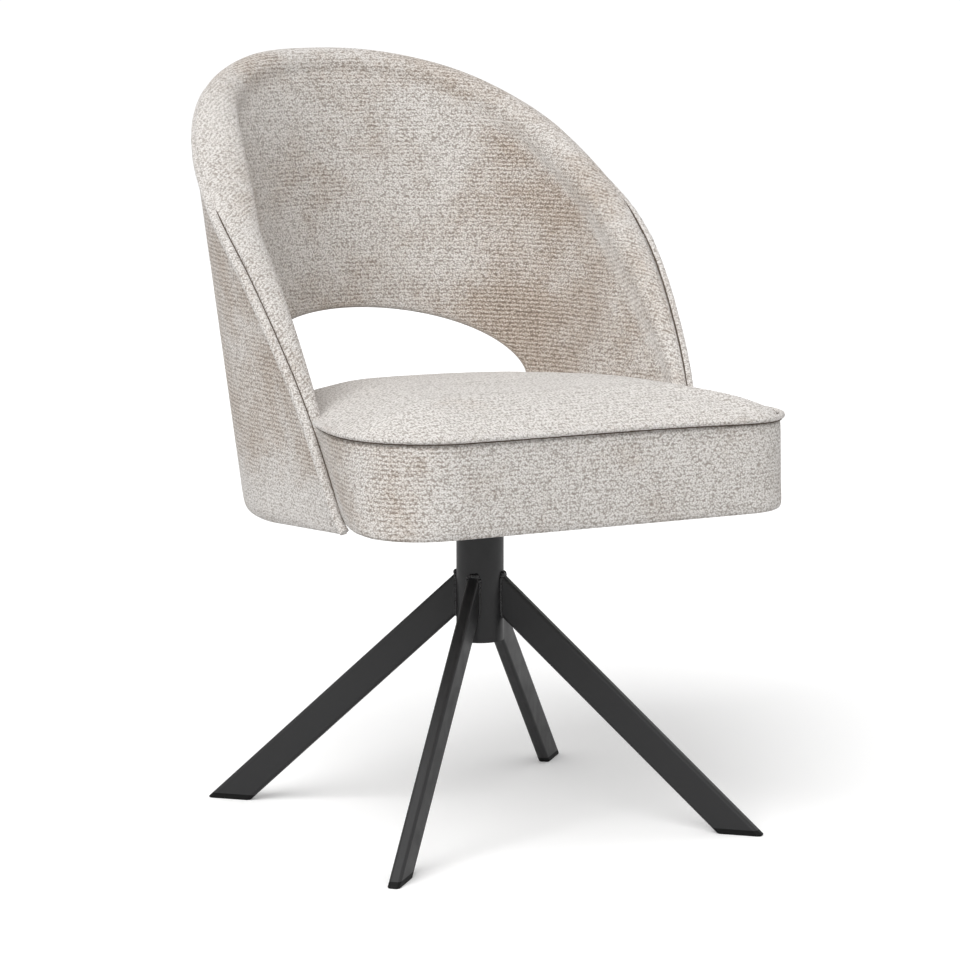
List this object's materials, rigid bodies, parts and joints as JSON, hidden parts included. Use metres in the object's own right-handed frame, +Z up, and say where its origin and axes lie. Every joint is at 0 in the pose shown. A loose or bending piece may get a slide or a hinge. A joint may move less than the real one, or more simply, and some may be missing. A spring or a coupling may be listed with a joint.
{
  "type": "swivel chair",
  "caption": "Upholstered barrel-back swivel dining chair with a half-moon opening in the back, on a steel column with splayed flat-tube legs.",
  "frame": {"origin": "middle of the whole chair's footprint, on the floor", "axes": "+Z up, the sitter faces -Y, +X to the sitter's left"},
  "size_m": [0.5424, 0.688, 0.873],
  "materials": {
    "black_steel": "satin black powder coat",
    "black_plastic": "moulded, fine matte",
    "plain_steel": "bright zinc plated",
    "plywood": "unfinished birch plywood",
    "foam": "open-cell polyurethane foam",
    "lining": "black non-woven lining",
    "greige_chenille": "pale greige ribbed chenille with a soft nap"
  },
  "bodies": {
    "base": {"bearing_rollers": "plain_steel", "column_bottom_plug": "black_plastic", "column_tube": "black_steel", "foot_cap_front_left": "black_plastic", "foot_cap_front_right": "black_plastic", "foot_cap_rear_left": "black_plastic", "foot_cap_rear_right": "black_plastic", "leg_front_left": "black_steel", "leg_front_right": "black_steel", "leg_rear_left": "black_steel", "leg_rear_right": "black_steel", "lower_bush": "black_plastic", "lower_race": "plain_steel", "upper_bush": "black_plastic"},
    "seat": {"back_foam": "foam", "back_inner_cover": "greige_chenille", "back_outer_cover": "greige_chenille", "back_ply_shell": "plywood", "back_rim_piping": "greige_chenille", "back_screws": "plain_steel", "dust_cover": "lining", "end_screw": "plain_steel", "end_washer": "plain_steel", "plate_bolts": "plain_steel", "plate_washers": "plain_steel", "seat_board": "plywood", "seat_border_cover": "greige_chenille", "seat_foam": "foam", "seat_piping": "greige_chenille", "seat_top_cover": "greige_chenille", "spindle": "plain_steel", "swivel_plate": "black_steel", "tee_nuts": "plain_steel", "upper_race": "plain_steel"}
  },
  "joints": [
    {"name": "seat_swivel", "type": "hinge", "parent": "base", "child": "seat", "pos_m": [0, -0.06229, 0.3669], "axis": [0, 0, 1], "continuous": true}
  ]
}
